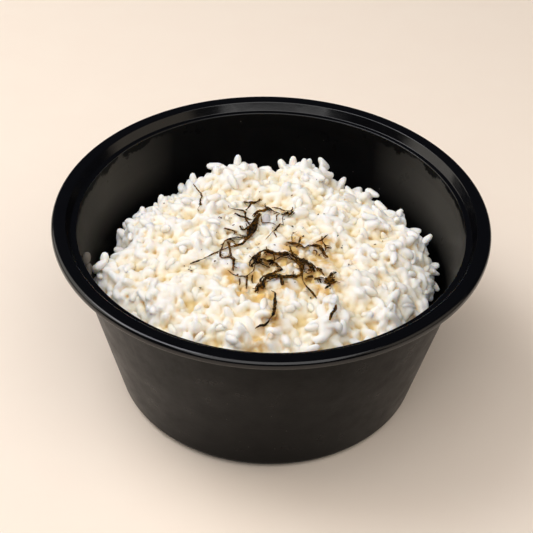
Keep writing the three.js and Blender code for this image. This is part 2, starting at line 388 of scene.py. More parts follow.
def satin_polypropylene():
    material, tree, shader = make_material("black_polypropylene_satin")
    place = add(tree, "ShaderNodeTexCoord").outputs["Object"]
    axes = add(tree, "ShaderNodeSeparateXYZ", {"Vector": place}).outputs
    streak_space = add(tree, "ShaderNodeMapping", {
        "Vector": place, "Scale": (1, 1, STREAK_WIDTH / STREAK_LENGTH)}).outputs["Vector"]
    streaks = add(tree, "ShaderNodeTexNoise", {
        "Vector": streak_space, "Scale": 1 / (STREAK_WIDTH * MM), "Detail": 3.0}).outputs["Fac"]
    pebble = add(tree, "ShaderNodeTexNoise", {
        "Vector": place, "Scale": 1 / (PEBBLE_SIZE * MM), "Detail": 2.0}).outputs["Fac"]
    relief = add(tree, "ShaderNodeMath", {
        0: streaks, 1: 0.7, 2: pebble}, operation="MULTIPLY_ADD").outputs["Value"]
    bump = add(tree, "ShaderNodeBump", {"Height": relief, "Distance": SATIN_RELIEF * MM}).outputs["Normal"]

    patch = add(tree, "ShaderNodeTexNoise", {
        "Vector": place, "Scale": 1 / (PATCH_SIZE * MM), "Detail": 6.0, "Roughness": 0.62}).outputs["Fac"]
    film_and_reflection = film_and_reflection_mask(tree, axes, patch)
    rough = add(tree, "ShaderNodeMapRange", {
        "Value": patch, "From Min": 0.3, "From Max": 0.7, "To Min": 0.26, "To Max": 0.38}).outputs["Result"]
    black = add(tree, "ShaderNodeMix", {
        "Factor": patch, "A": colour("#040405"), "B": colour("#0A0A0B")}, data_type="RGBA").outputs["Result"]
    # Painted reflection: the grey of the starch film also stands for the bright rice mirrored in the side
    # walls.
    starch_and_reflection = add(tree, "ShaderNodeMix", {
        "Factor": film_and_reflection, "A": black, "B": colour("#464440")}, data_type="RGBA").outputs["Result"]
    dot = add(tree, "ShaderNodeTexVoronoi", {"Vector": place, "Scale": 1 / (SPECK_SPACING * MM)}).outputs
    speck = add(tree, "ShaderNodeMapRange", {
        "Value": dot["Distance"], "From Min": 0.09, "From Max": 0.05, "To Max": 0.6}).outputs["Result"]
    few = add(tree, "ShaderNodeMath", {0: dot["Color"], 1: 0.8}, operation="GREATER_THAN").outputs["Value"]
    specks = add(tree, "ShaderNodeMath", {0: speck, 1: few}, operation="MULTIPLY").outputs["Value"]
    dotted = add(tree, "ShaderNodeMix", {
        "Factor": specks, "A": starch_and_reflection, "B": colour("#6A655E")}, data_type="RGBA").outputs["Result"]
    fill(tree, shader, {
        "Base Color": dotted, "Roughness": rough, "Normal": bump, "IOR": PLASTIC_IOR,
        "Specular IOR Level": 0.05})
    return material


# %% [markdown]
# ## Black polypropylene, polished
# The mould was polished where the lid grips, so the rim, its face and the ledge are glossy and show the
# lamps as thin bright lines along every edge. It is the same plastic, so this is a second slot of the
# same mesh, given to the faces above the ledge.

# %% Polished rim, and the bowl
POLISHED_ABOVE = 70.2
RIPPLE_SIZE = 6.0
RIPPLE_RELIEF = 0.05


def polished_polypropylene():
    material, tree, shader = make_material("black_polypropylene_polished")
    place = add(tree, "ShaderNodeTexCoord").outputs["Object"]
    ripple = add(tree, "ShaderNodeTexNoise", {
        "Vector": place, "Scale": 1 / (RIPPLE_SIZE * MM), "Detail": 4.0}).outputs["Fac"]
    rough = add(tree, "ShaderNodeMapRange", {
        "Value": ripple, "From Min": 0.3, "From Max": 0.7, "To Min": 0.1, "To Max": 0.2}).outputs["Result"]
    bump = add(tree, "ShaderNodeBump", {"Height": ripple, "Strength": 0.5, "Distance": RIPPLE_RELIEF * MM})
    fill(tree, shader, {"Base Color": colour("#060608"), "Roughness": rough, "Normal": bump.outputs["Normal"],
                        "IOR": PLASTIC_IOR, "Specular IOR Level": 0.45})
    return material


bowl = new_object("bowl_shell", turned_mesh("bowl_shell", bowl_outline(), BOWL_SIDES))
bowl.data.materials.append(satin_polypropylene())
bowl.data.materials.append(polished_polypropylene())
for face in bowl.data.polygons:
    face.material_index = int(face.center.z > POLISHED_ABOVE * MM)
print("bowl:", len(bowl.data.polygons), "faces")

# %% [markdown]
# ## Runners for Geometry Nodes and modifiers
# Rice and nori are grown by trees of Geometry Nodes. The first function starts a tree with named inputs,
# the second puts a tree on a carrier object, sets its inputs and keeps the result as a plain mesh, so
# that nothing live is left. The third does the same with one ordinary modifier.

# %% Runners
def new_tree(name, inputs):
    """A Geometry Nodes tree with a geometry input, the named inputs and a geometry output."""
    tree = bpy.data.node_groups.new(name, "GeometryNodeTree")
    tree.interface.new_socket("Geometry", in_out="INPUT", socket_type="NodeSocketGeometry")
    for label, kind in inputs.items():
        tree.interface.new_socket(label, in_out="INPUT", socket_type="NodeSocket" + kind)
    tree.interface.new_socket("Geometry", in_out="OUTPUT", socket_type="NodeSocketGeometry")
    return tree, add(tree, "NodeGroupInput").outputs


def evaluated_mesh(carrier):
    """The mesh that a carrier's modifier makes. The carrier is removed."""
    graph = bpy.context.evaluated_depsgraph_get()
    result = carrier.evaluated_get(graph)
    mesh = bpy.data.meshes.new_from_object(result, preserve_all_data_layers=True, depsgraph=graph)
    bpy.data.objects.remove(carrier)
    return mesh


def grow(name, source, tree, values):
    """Runs a tree on a mesh or a curve and returns a new object with the plain result."""
    carrier = new_object(name + "_carrier", source)
    modifier = carrier.modifiers.new("tree", "NODES")
    modifier.node_group = tree
    for item in tree.interface.items_tree:
        if item.in_out == "INPUT" and item.name in values:
            modifier[item.identifier] = values[item.name]
    piece = new_object(name, evaluated_mesh(carrier))
    print(name, "has", len(piece.data.polygons), "faces")
    return piece


def with_modifier(mesh, kind, **options):
    """A copy of a mesh with one modifier applied."""
    carrier = new_object("carrier", mesh)
    modifier = carrier.modifiers.new("form", kind)
    for option, value in options.items():
        setattr(modifier, option, value)
    return evaluated_mesh(carrier)


# %% [markdown]
# ## Cooked rice
# A cooked grain is swollen starch and water: white inside and clear towards its skin, so light goes in,
# spreads over a few millimetres and comes out again elsewhere. That is subsurface scattering, and it is
# what keeps the small shadows between the grains so faint. The skin is moist, which gives a soft sheen.
# On the crests of the heap the rice looks bluish white. In the hollows between clumps the light has
# passed through many grains and looks like honey, and near the seaweed the steam has washed amber into
# the rice. The fused bed carries a measure of each: hollow, groove and stain. The bluish white and the
# honey are painted light and shade in the colour, while the amber is a stain. Single grains carry only
# the first and the last.

# %% Rice material
SCATTER_DEPTH = 3.0
CREST = -1.5
VALLEY = 2.0
PATCHINESS = 1.1
GROOVE_START = 0.25
GROOVE_FULL = 0.8
RICE_PATCH_SIZE = 4.0


def cooked_rice(name, tones, scatter):
    """Tones run from the painted light on the crests to the painted shade of the deepest hollows."""
    material, tree, shader = make_material(name)
    place = add(tree, "ShaderNodeTexCoord").outputs["Object"]
    patch = add(tree, "ShaderNodeTexNoise", {
        "Vector": place, "Scale": 1 / (RICE_PATCH_SIZE * MM), "Detail": 3.0}).outputs["Fac"]
    hollow = add(tree, "ShaderNodeAttribute", attribute_name="hollow").outputs["Fac"]
    sway = add(tree, "ShaderNodeMath", {0: patch, 1: 0.5}, operation="SUBTRACT").outputs["Value"]
    swayed = add(tree, "ShaderNodeMath", {
        0: sway, 1: 2 * PATCHINESS * MM, 2: hollow}, operation="MULTIPLY_ADD").outputs["Value"]
    depth = add(tree, "ShaderNodeMapRange", {
        "Value": swayed, "From Min": CREST * MM, "From Max": VALLEY * MM}).outputs["Result"]
    # Painted light and shade: bluish white on the crests and honey in the hollows, by the depth of each
    # point.
    ramp = add(tree, "ShaderNodeValToRGB", {"Fac": depth})
    set_stops(ramp, {step / (len(tones) - 1): tone for step, tone in enumerate(tones)})
    groove = add(tree, "ShaderNodeAttribute", attribute_name="groove").outputs["Fac"]
    groove_share = add(tree, "ShaderNodeMapRange", {
        "Value": groove, "From Min": GROOVE_START * MM, "From Max": GROOVE_FULL * MM,
        "To Max": 0.75}).outputs["Result"]
    # Painted shade: the grooves between grains are coloured honey.
    groove_shaded = add(tree, "ShaderNodeMix", {
        "Factor": groove_share, "A": ramp.outputs["Color"], "B": colour("#E2C88C")},
        data_type="RGBA").outputs["Result"]
    stain = add(tree, "ShaderNodeAttribute", attribute_name="stain").outputs["Fac"]
    wash = add(tree, "ShaderNodeMapRange", {
        "Value": patch, "From Min": 0.38, "From Max": 0.56, "To Max": 0.95}).outputs["Result"]
    washed = add(tree, "ShaderNodeMath", {0: stain, 1: wash}, operation="MULTIPLY").outputs["Value"]
    stained = add(tree, "ShaderNodeMix", {
        "Factor": washed, "A": groove_shaded, "B": colour("#DDB669")}, data_type="RGBA").outputs["Result"]
    fill(tree, shader, {
        "Base Color": stained, "Roughness": 0.48, "IOR": 1.38, "Specular IOR Level": 0.25,
        "Subsurface Weight": 1.0, "Subsurface Radius": (1.0, 0.86, 0.68), "Subsurface Scale": scatter * MM})
    return material


# Painted light and shade, from the crests down to the deepest hollows.
BED_LIGHT_AND_SHADE = ("#F2EEE8", "#F2EBDD", "#F0E4CA", "#E2CC98")
GRAIN_LIGHT_AND_SHADE = ("#F4F1ED", "#F3ECDF", "#F0E3C8")
rice_skin = cooked_rice("cooked_rice_steamed", BED_LIGHT_AND_SHADE, SCATTER_DEPTH)
# Deep scattering would turn a thin grain on its own grey, so a single grain's is shallower.
grain_skin = cooked_rice("cooked_rice_single_grain", GRAIN_LIGHT_AND_SHADE, SCATTER_DEPTH / 3)
print("rice materials:", rice_skin.name, "and", grain_skin.name)

# %% [markdown]
# ## One grain of cooked rice
# A cooked short grain is plump, about 6 mm long and 3.2 mm wide, a little flatter than wide, slightly
# bent, and blunter at the end where the germ sat. Six of them differ in these measures, and every grain
# in the heap is one of the six, so each has only 48 faces.

# %% Grain shapes
GRAIN_SIDES = 8
GRAIN_RINGS = 5
PLUMPNESS = 0.82  # below 1, the grain keeps its width further towards its ends
UNEVENNESS = 0.05
GRAINS = [
    # length, width, thickness, bend, bluntness
    (6.2, 3.2, 2.7, 0.25, 0.10),
    (5.7, 3.3, 2.8, 0.10, 0.18),
    (6.7, 3.1, 2.6, 0.40, 0.08),
    (6.0, 3.0, 2.7, -0.20, 0.14),
    (5.2, 3.4, 2.9, 0.05, 0.05),
    (6.4, 3.3, 2.5, 0.30, 0.22),
]


def grain_rows(length, width, thickness, bend, bluntness, chance):
    """Rows of points: a pole, the rings round the grain, which lies along X, and the other pole."""
    def point(along, radius, angle):
        swell = radius * (1 - bluntness * along) * (1 + UNEVENNESS * chance.standard_normal())
        return Vector((along * length / 2, swell * width / 2 * math.cos(angle),
                       swell * thickness / 2 * math.sin(angle) + bend * (along ** 2 - 0.4))) * MM

    rows = [[point(-1, 0, 0)]]
    for ring in range(1, GRAIN_RINGS + 1):
        polar = math.pi * ring / (GRAIN_RINGS + 1)
        angles = [2 * math.pi * side / GRAIN_SIDES for side in range(GRAIN_SIDES)]
        rows.append([point(-math.cos(polar), math.sin(polar) ** PLUMPNESS, angle) for angle in angles])
    rows.append([point(1, 0, 0)])
    return rows


def grain_mesh(name, rows):
    """Faces between the rows, closed at both poles."""
    form = bmesh.new()
    rows = [[form.verts.new(point) for point in row] for row in rows]
    for side in range(GRAIN_SIDES):
        following = (side + 1) % GRAIN_SIDES
        form.faces.new((rows[0][0], rows[1][following], rows[1][side]))
        for lower, upper in zip(rows[1:-2], rows[2:-1]):
            form.faces.new((lower[side], lower[following], upper[following], upper[side]))
        form.faces.new((rows[-1][0], rows[-2][side], rows[-2][following]))
    bmesh.ops.recalc_face_normals(form, faces=form.faces)
    mesh = mesh_of(form, name)
    mesh.shade_smooth()
    return mesh


grain_chance = np.random.default_rng(7)
grain_shapes = bpy.data.collections.new("grain_shapes")
for number, measures in enumerate(GRAINS):
    shape = grain_mesh(f"grain_{number}", grain_rows(*measures, grain_chance))
    grain_shapes.objects.link(bpy.data.objects.new(f"grain_{number}", shape))
print(len(GRAINS), "grain shapes of", len(shape.polygons), "faces")

# %% [markdown]
# ## The core of the heap
# Nobody sees the inside of the heap, so it is one solid: the CAD heap drawn in by more than a grain's
# thickness. First, gaps and bulges that a spoon left round the edge are pressed into it one by one. Then
# it swells into domes of a few grains each, with creases between, because sticky rice breaks into clumps
# as it is served. A Voronoi pattern gives the distance to the middle of the nearest clump, which is just
# the shape of such domes. At the end, whatever would pass the bowl's wall is moved back inside it.

# %% The heap, touched up
CORE_VOXEL = 1.4
TOUCHED_ABOVE = 44.0
WALL_GAP = 0.15
TOUCHES = [
    # x, y, push along the surface's normal, spread
    (-60, 8, -5.0, 5.5),
    (-52, 25, -3.5, 4.0),
    (-39, 42, -6.0, 2.6),
    (-30, 47, -1.5, 3.5),
    (-27, 45, -2.5, 2.5),
    (-14, 46, 2.5, 3.5),
    (-17, 54, -2.0, 3.0),
    (-4.5, 46, -2.5, 2.0),
    (-9, 56, -4.0, 2.6),
    (-1, 57, -5.0, 3.4),
    (10, 56, -4.0, 2.4),
    (11, 51, -2.5, 2.2),
    (18, 53, -2.5, 2.0),
    (22.5, 51, 4.6, 2.4),
    (27.5, 49, -6.0, 3.0),
    (39, 40, 3.0, 3.5),
    (47, 41, -5.0, 3.0),
    (46, 34, -3.0, 2.5),
    (52, 34, -2.0, 4.0),
    (60, 12, 3.0, 5.0),
    (-61, 2, -3.2, 3.0),
    (-61, -13, 4.0, 4.5),
    # dents that show as hollows, which the rice colour paints in honey-coloured shade
    (-32, 15, -4.0, 3.0),
    (-38, -20, -3.0, 2.4),
    (-46, -16, -3.0, 2.0),
    (-29, -37, -3.0, 3.5),
    (-38, -45, -3.0, 3.5),
    (-21, -55, -3.5, 4.0),
    (-2, -54, -2.5, 4.0),
    (-18, 27, -2.5, 3.0),
    (-4, 23, -2.5, 3.0),
    (27, -9, -3.0, 4.0),
    (39, 2, -3.5, 4.5),
    (30, -33, -2.0, 4.0),
    (11, -45, -2.0, 3.5),
]


def merged_copy(node):
    """A copy of a CAD node's mesh with its loose triangles joined."""
    form = bmesh.new()
    form.from_mesh(frame["nodes"][node].data)
    bmesh.ops.remove_doubles(form, verts=form.verts, dist=0.001 * MM)
    return mesh_of(form, node + "_copy")


def corners(mesh):
    """The points of a mesh as an array."""
    points = np.zeros(len(mesh.vertices) * 3)
    mesh.vertices.foreach_get("co", points)
    return points.reshape(-1, 3)


def move_corners(mesh, points):
    """Gives the points of a mesh new places."""
    mesh.vertices.foreach_set("co", points.ravel())
    mesh.update()


def touch_up(mesh):
    """Pushes the top out or in round each touch, by a bell curve of the distance."""
    points = corners(mesh)
    normals = np.array([vertex.normal for vertex in mesh.vertices])
    push = np.zeros(len(points))
    for x, y, rise, spread in TOUCHES:
        away = np.hypot(points[:, 0] - x * MM, points[:, 1] - y * MM)
        push += rise * MM * np.exp(-away ** 2 / (2 * (spread * MM) ** 2))
    push[points[:, 2] < TOUCHED_ABOVE * MM] = 0
    move_corners(mesh, points + normals * push[:, None])


def keep_in_bowl(mesh):
    """Moves every point that would pass the inner wall back to just inside it."""
    points = corners(mesh)
    reach = np.hypot(points[:, 0], points[:, 1])
    limit = (inner_wall(points[:, 2] / MM) - WALL_GAP) * MM
    points[:, :2] *= np.minimum(1, limit / np.maximum(reach, MM))[:, None]
    move_corners(mesh, points)


heap = with_modifier(merged_copy("rice"), "REMESH", mode="VOXEL", voxel_size=CORE_VOXEL * MM)
touch_up(heap)
print("heap:", len(heap.polygons), "faces")

# %% Core tree
WARPS_PER_METRE = 90.0
WARP_REACH = 6.0

core_tree, core_in = new_tree("Clumped core", {
    "Draw in": "Float", "Clump size": "Float", "Clump rise": "Float", "Material": "Material"})
where = add(core_tree, "GeometryNodeInputPosition").outputs["Position"]
wobble = add(core_tree, "ShaderNodeTexNoise", {"Vector": where, "Scale": WARPS_PER_METRE, "Detail": 2.0})
spread = add(core_tree, "ShaderNodeVectorMath", {
    0: wobble.outputs["Color"], "Scale": WARP_REACH * MM}, operation="SCALE")
warped = add(core_tree, "ShaderNodeVectorMath", {0: spread.outputs["Vector"], 1: where}, operation="ADD")
frequency = add(core_tree, "ShaderNodeMath", {0: 1.0, 1: core_in["Clump size"]}, operation="DIVIDE")
cells = add(core_tree, "ShaderNodeTexVoronoi", {
    "Vector": warped.outputs["Vector"], "Scale": frequency.outputs["Value"], "Smoothness": 0.25},
    feature="SMOOTH_F1")
dome = add(core_tree, "ShaderNodeMapRange", {
    "Value": cells.outputs["Distance"], "From Min": 0.15, "From Max": 0.75, "To Min": 0.5, "To Max": -0.5})
rise = add(core_tree, "ShaderNodeMath", {
    0: dome.outputs["Result"], 1: core_in["Clump rise"]}, operation="MULTIPLY")
step = add(core_tree, "ShaderNodeMath", {
    0: rise.outputs["Value"], 1: core_in["Draw in"]}, operation="SUBTRACT")
outward = add(core_tree, "ShaderNodeVectorMath", {
    0: add(core_tree, "GeometryNodeInputNormal").outputs["Normal"], "Scale": step.outputs["Value"]},
    operation="SCALE")
drawn = add(core_tree, "GeometryNodeSetPosition", {
    "Geometry": core_in["Geometry"], "Offset": outward.outputs["Vector"]})
painted = add(core_tree, "GeometryNodeSetMaterial", {
    "Geometry": drawn.outputs["Geometry"], "Material": core_in["Material"]})
add(core_tree, "NodeGroupOutput", {"Geometry": painted.outputs["Geometry"]})
print("core tree:", len(core_tree.nodes), "nodes")

# %% Core
core = grow("rice_core", heap, core_tree, {
    "Draw in": 3.6 * MM, "Clump size": 11.5 * MM, "Clump rise": 4.6 * MM, "Material": rice_skin})
keep_in_bowl(core.data)
core.data.shade_smooth()

# %% [markdown]
# ## Scattering grains
# Grains that fall on a heap lie mostly flat, at any turn, and overlap. Points are spread over the core
# no closer than a set spacing, each takes one of the six grains, and it is laid along the surface with a
# random turn and tilt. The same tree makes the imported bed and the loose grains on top.

# %% Scatter tree: places
DENSEST = 3e5  # points on a square metre before those that lie too close are dropped

scatter, given = new_tree("Scattered grains", {
    "Grain shapes": "Collection", "Spacing": "Float", "Lowest level": "Float", "Tilt": "Float",
    "Least lift": "Float", "Most lift": "Float", "Smallest": "Float", "Largest": "Float",
    "Seed": "Int", "Material": "Material"})
height = add(scatter, "ShaderNodeSeparateXYZ", {
    "Vector": add(scatter, "GeometryNodeInputPosition").outputs["Position"]})
high_enough = add(scatter, "FunctionNodeCompare", {0: height.outputs["Z"], 1: given["Lowest level"]},
                  data_type="FLOAT", operation="GREATER_THAN")
points = add(scatter, "GeometryNodeDistributePointsOnFaces", {
    "Mesh": given["Geometry"], "Selection": high_enough.outputs["Result"], "Distance Min": given["Spacing"],
    "Density Max": DENSEST, "Seed": given["Seed"]}, distribute_method="POISSON")
lift = add(scatter, "FunctionNodeRandomValue", {
    2: given["Least lift"], 3: given["Most lift"], "Seed": given["Seed"]}, data_type="FLOAT")
lifting = add(scatter, "ShaderNodeVectorMath", {
    0: points.outputs["Normal"], "Scale": lift.outputs[1]}, operation="SCALE")
lifted = add(scatter, "GeometryNodeSetPosition", {
    "Geometry": points.outputs["Points"], "Offset": lifting.outputs["Vector"]})

# %% Scatter tree: turns, sizes and real geometry
down_tilt = add(scatter, "ShaderNodeMath", {0: given["Tilt"], 1: -1.0}, operation="MULTIPLY")
least_turn = add(scatter, "ShaderNodeCombineXYZ", {
    "X": -math.pi, "Y": down_tilt.outputs["Value"], "Z": -math.pi})
most_turn = add(scatter, "ShaderNodeCombineXYZ", {"X": math.pi, "Y": given["Tilt"], "Z": math.pi})
turn_seed = add(scatter, "ShaderNodeMath", {0: given["Seed"], 1: 1.0}, operation="ADD")
turns = add(scatter, "FunctionNodeRandomValue", {
    0: least_turn.outputs["Vector"], 1: most_turn.outputs["Vector"], "Seed": turn_seed.outputs["Value"]},
    data_type="FLOAT_VECTOR")
turned = add(scatter, "FunctionNodeEulerToRotation", {0: turns.outputs[0]})
laid = add(scatter, "FunctionNodeRotateRotation", {
    "Rotation": points.outputs["Rotation"], "Rotate By": turned.outputs[0]}, rotation_space="LOCAL")
size = add(scatter, "FunctionNodeRandomValue", {
    2: given["Smallest"], 3: given["Largest"], "Seed": given["Seed"]}, data_type="FLOAT")
choice = add(scatter, "FunctionNodeRandomValue", {
    4: 0, 5: len(GRAINS) - 1, "Seed": given["Seed"]}, data_type="INT")
shapes = add(scatter, "GeometryNodeCollectionInfo", {
    "Collection": given["Grain shapes"], "Separate Children": True, "Reset Children": True})
placed = add(scatter, "GeometryNodeInstanceOnPoints", {
    "Points": lifted.outputs["Geometry"], "Instance": shapes.outputs[0], "Pick Instance": True,
    "Instance Index": choice.outputs[2], "Rotation": laid.outputs[0], "Scale": size.outputs[1]})
real = add(scatter, "GeometryNodeRealizeInstances", {"Geometry": placed.outputs["Instances"]})
smooth = add(scatter, "GeometryNodeSetShadeSmooth", {"Geometry": real.outputs["Geometry"]})
coated = add(scatter, "GeometryNodeSetMaterial", {
    "Geometry": smooth.outputs["Geometry"], "Material": given["Material"]})
add(scatter, "NodeGroupOutput", {"Geometry": coated.outputs["Geometry"]})
print("scatter tree:", len(scatter.nodes), "nodes")

# %% Scattering
def scattered(name, seed, spacing, foot, tilt, lifts, sizes=(0.92, 1.08), skin=rice_skin):
    """Grains over the core, with lengths in millimetres and the tilt in degrees."""
    grains = grow(name, core.data, scatter, {
        "Grain shapes": grain_shapes, "Spacing": spacing * MM, "Lowest level": foot * MM,
        "Tilt": math.radians(tilt), "Least lift": lifts[0] * MM, "Most lift": lifts[1] * MM,
        "Smallest": sizes[0], "Largest": sizes[1], "Seed": seed, "Material": skin})
    keep_in_bowl(grains.data)
    return grains


# %% [markdown]
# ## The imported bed
# The grains have swollen into each other, and wet starch fills the sharp grooves between them. So three
# layers of grains and the top of the core are joined into one skin by a fine voxel remesh, which melts
# the grooves just as the starch does, and a little smoothing takes off its steps. What lies below the bed
# is cut off level and closed, and a decimation then takes faces away where the skin is flat.

# %% Fused bed
BED_FOOT = 46.0
BED_VOXEL = 0.46
BED_TRIANGLES = 190000
BED_SMOOTHINGS = 4

layers = [
    scattered("lower_grains", seed=11, spacing=2.9, foot=BED_FOOT - 2, tilt=20, lifts=(0.0, 0.8)),
    scattered("middle_grains", seed=13, spacing=3.4, foot=BED_FOOT - 2, tilt=30, lifts=(0.4, 1.4)),
    scattered("upper_grains", seed=17, spacing=4.0, foot=BED_FOOT + 2, tilt=42, lifts=(0.9, 2.1),
              sizes=(0.98, 1.15)),
]
form = bmesh.new()
for source in (*layers, core):
    form.from_mesh(source.data)
fused = with_modifier(mesh_of(form, "together"), "REMESH", mode="VOXEL", voxel_size=BED_VOXEL * MM)
fused = with_modifier(fused, "SMOOTH", factor=0.5, iterations=BED_SMOOTHINGS)
for source in layers:
    bpy.data.objects.remove(source)

# %% Level foot of the bed
form = bmesh.new()
form.from_mesh(fused)
everything = form.verts[:] + form.edges[:] + form.faces[:]
cut = bmesh.ops.bisect_plane(form, geom=everything, plane_co=(0, 0, BED_FOOT * MM), plane_no=(0, 0, 1),
                             clear_inner=True)
foot_edges = [edge for edge in cut["geom_cut"] if isinstance(edge, bmesh.types.BMEdge)]
bmesh.ops.holes_fill(form, edges=foot_edges)
bed_mesh = mesh_of(form, "bed")
bed_mesh.calc_loop_triangles()
kept_share = min(1, BED_TRIANGLES / len(bed_mesh.loop_triangles))
bed_mesh = with_modifier(bed_mesh, "DECIMATE", ratio=kept_share)
keep_in_bowl(bed_mesh)
bed_mesh.materials.clear()
bed_mesh.materials.append(rice_skin)
bed_mesh.shade_smooth()
print("bed: decimation keeps", round(100 * kept_share), "% of the triangles")

# %% [markdown]
# ## How deep a point lies in a hollow
# If a surface is blurred, a point in a hollow moves out and a point on a crest moves in. That movement
# is a good measure of depth. It is taken twice: with a short blur, along the surface's own normal, for
# the grooves between grains, and with a long one, along the blurred normal, for the hollows between
# clumps.

# %% Hollows
SHORT_BLUR = 16
LONG_BLUR = 260

hollow_tree, hollow_in = new_tree("Measured hollows", {"Short blur": "Int", "Long blur": "Int"})
spot = add(hollow_tree, "GeometryNodeInputPosition").outputs["Position"]
facing = add(hollow_tree, "GeometryNodeInputNormal").outputs["Normal"]


def blurred_vector(vector, iterations):
    """A vector field after a blur over the mesh."""
    blur = add(hollow_tree, "GeometryNodeBlurAttribute", {"Iterations": iterations}, data_type="FLOAT_VECTOR")
    value_in = [socket for socket in blur.inputs if socket.enabled and socket.name == "Value"][0]
    hollow_tree.links.new(vector, value_in)
    return [socket for socket in blur.outputs if socket.enabled][0]


noted = hollow_in["Geometry"]
for label, name in (("Short blur", "groove"), ("Long blur", "hollow")):
    movement = add(hollow_tree, "ShaderNodeVectorMath", {
        0: blurred_vector(spot, hollow_in[label]), 1: spot}, operation="SUBTRACT").outputs["Vector"]
    outward = facing if name == "groove" else blurred_vector(facing, hollow_in[label])
    unit = add(hollow_tree, "ShaderNodeVectorMath", {0: outward}, operation="NORMALIZE").outputs["Vector"]
    depth = add(hollow_tree, "ShaderNodeVectorMath", {
        0: movement, 1: unit}, operation="DOT_PRODUCT").outputs["Value"]
    noted = add(hollow_tree, "GeometryNodeStoreNamedAttribute", {
        "Geometry": noted, "Name": name, "Value": depth},
        data_type="FLOAT", domain="POINT").outputs["Geometry"]
add(hollow_tree, "NodeGroupOutput", {"Geometry": noted})


def read_values(mesh, name):
    """A measure that each point of a mesh carries."""
    values = np.zeros(len(mesh.vertices))
    mesh.attributes[name].data.foreach_get("value", values)
    return values


bed = grow("rice_bed", bed_mesh, hollow_tree, {"Short blur": SHORT_BLUR, "Long blur": LONG_BLUR})
for name in ("groove", "hollow"):
    shares = np.percentile(read_values(bed.data, name), (5, 50, 90, 99)) / MM
    print(name, "in mm at 5, 50, 90 and 99 %:", np.round(shares, 2))

# %% [markdown]
# ## Loose grains
# On the fused bed lie single grains that keep their whole outline. Most are scattered. Those that stand
# out against the bowl's dark wall are what the eye sees of the heap's outline, so they are set one by one:
# each has its place, its heading seen from above, and the angle at which it stands. They have the same
# six shapes as the grains of the bed, and a ray that falls on the bed gives each its height.

# %% Places of the standing grains
STANDING = [
    # x, y, lift of the middle over the bed, heading, slope up, shape
    (7.8, 51, 1.8, 90, 80, 0),
    (3.6, 51.5, 2.4, 150, 50, 4),
    (13.9, 51.5, 1.0, 60, 60, 1),
    (22.5, 51, 0.4, 60, 45, 3),
    (27.6, 49, 0.4, 60, 20, 3),
    (39.5, 41, 0.6, -30, -10, 5),
    (42.5, 33, 1.6, -40, -15, 0),
    (49.3, 29.8, 0.6, 50, 30, 1),
    (59.8, 18, 0.2, 40, 20, 0),
    (62, 6, 0.8, 0, 20, 4),
    (61.5, -5, 0.5, -40, -20, 1),
    (-55.5, 22.5, 1.2, 150, 35, 2),
    (-50, 25, 0.4, 100, 35, 0),
    (-62.6, -10.5, 1.2, 105, 65, 2),
    (-60.8, -9.5, 0.8, 80, 60, 4),
    (-61.5, -14.5, 0.4, 30, 30, 1),
    (-31.5, 43, 1.0, 110, 65, 1),
    (-43.3, 33, 0.8, 100, 50, 1),
    (-23.5, 50, 0.6, 5, 5, 5),
    (-14.2, 46, 1.2, 80, 60, 0),
    (-57.5, 9.5, 0.5, 170, 15, 4),
]


# %% Loose and standing grains
def bed_height(x, y, surface):
    """Height of a surface over a point, in millimetres, or the bed's foot where there is none."""
    hit = surface.ray_cast(Vector((x, y, 2 * BOWL_HEIGHT)) * MM, Vector((0, 0, -1)))[0]
    return BED_FOOT if hit is None else hit.z / MM


def surface_of(*pieces):
    """A search tree over the faces of several pieces."""
    points = []
    faces = []
    for piece in pieces:
        start = len(points)
        points.extend(vertex.co.copy() for vertex in piece.data.vertices)
        faces.extend([start + index for index in face.vertices] for face in piece.data.polygons)
    return BVHTree.FromPolygons(points, faces)


def set_grains(name, places, surface, skin):
    """One mesh of grains that are set one by one."""
    form = bmesh.new()
    for x, y, lift, heading, slope, number in places:
        grain = grain_shapes.objects[number].data.copy()
        spin = Euler((0, math.radians(-slope), math.radians(heading))).to_matrix().to_4x4()
        middle = Vector((x, y, bed_height(x, y, surface) + lift)) * MM
        grain.transform(Matrix.Translation(middle) @ spin)
        form.from_mesh(grain)
    mesh = mesh_of(form, name)
    mesh.materials.append(skin)
    mesh.shade_smooth()
    keep_in_bowl(mesh)
    print(name, "holds", len(places), "grains")
    return new_object(name, mesh)


loose = scattered("rice_grains_loose", seed=23, spacing=8.0, foot=BED_FOOT + 2, tilt=45, lifts=(1.3, 2.3),
                  sizes=(0.95, 1.1), skin=grain_skin)
bed_faces = surface_of(bed)
standing = set_grains("rice_grains_standing", STANDING, bed_faces, grain_skin)

# %% [markdown]
# ## Glassy grains
# A few grains stayed wet and clear. One lies beside the back tangle and looks grey. Two stick to the wall
# at the left, where the dark plastic shows through them and they lie in shade, so their skin is darker:
# partly painted shade.

# %% Glassy grains
GLASSY = [
    # the same measures as for the standing grains
    (-2.1, 9.8, 1.4, 80, 35, 4),
]
ON_WALL = [
    (-67.3, -10.6, 12.5, 75, 50, 4),
    (-66.4, -13.8, 9.5, 60, 60, 1),
]
glassy_skin = cooked_rice("cooked_rice_glassy", ("#C9C6C8", "#B4AEA8"), SCATTER_DEPTH / 2)
glassy = set_grains("rice_grains_glassy", GLASSY, bed_faces, glassy_skin)
# Painted shade: these grains are darker for the shade they lie in as well as for the plastic behind them.
shaded_wall_skin = cooked_rice("cooked_rice_on_wall", ("#7C766E", "#6A655E"), SCATTER_DEPTH / 3)
on_wall = set_grains("rice_grains_on_wall", ON_WALL, bed_faces, shaded_wall_skin)

# %% [markdown]
# ## The tone of a single grain
# A single grain has no hollows of its own to measure. It takes over how deep the bed lies under it, less
# a little for its height over the bed, so that it gets the painted light and shade of its surroundings.

# %% Hollows under the single grains
CREST_GAIN = 0.1  # how much of its height over the bed counts as a grain's rise over the hollow


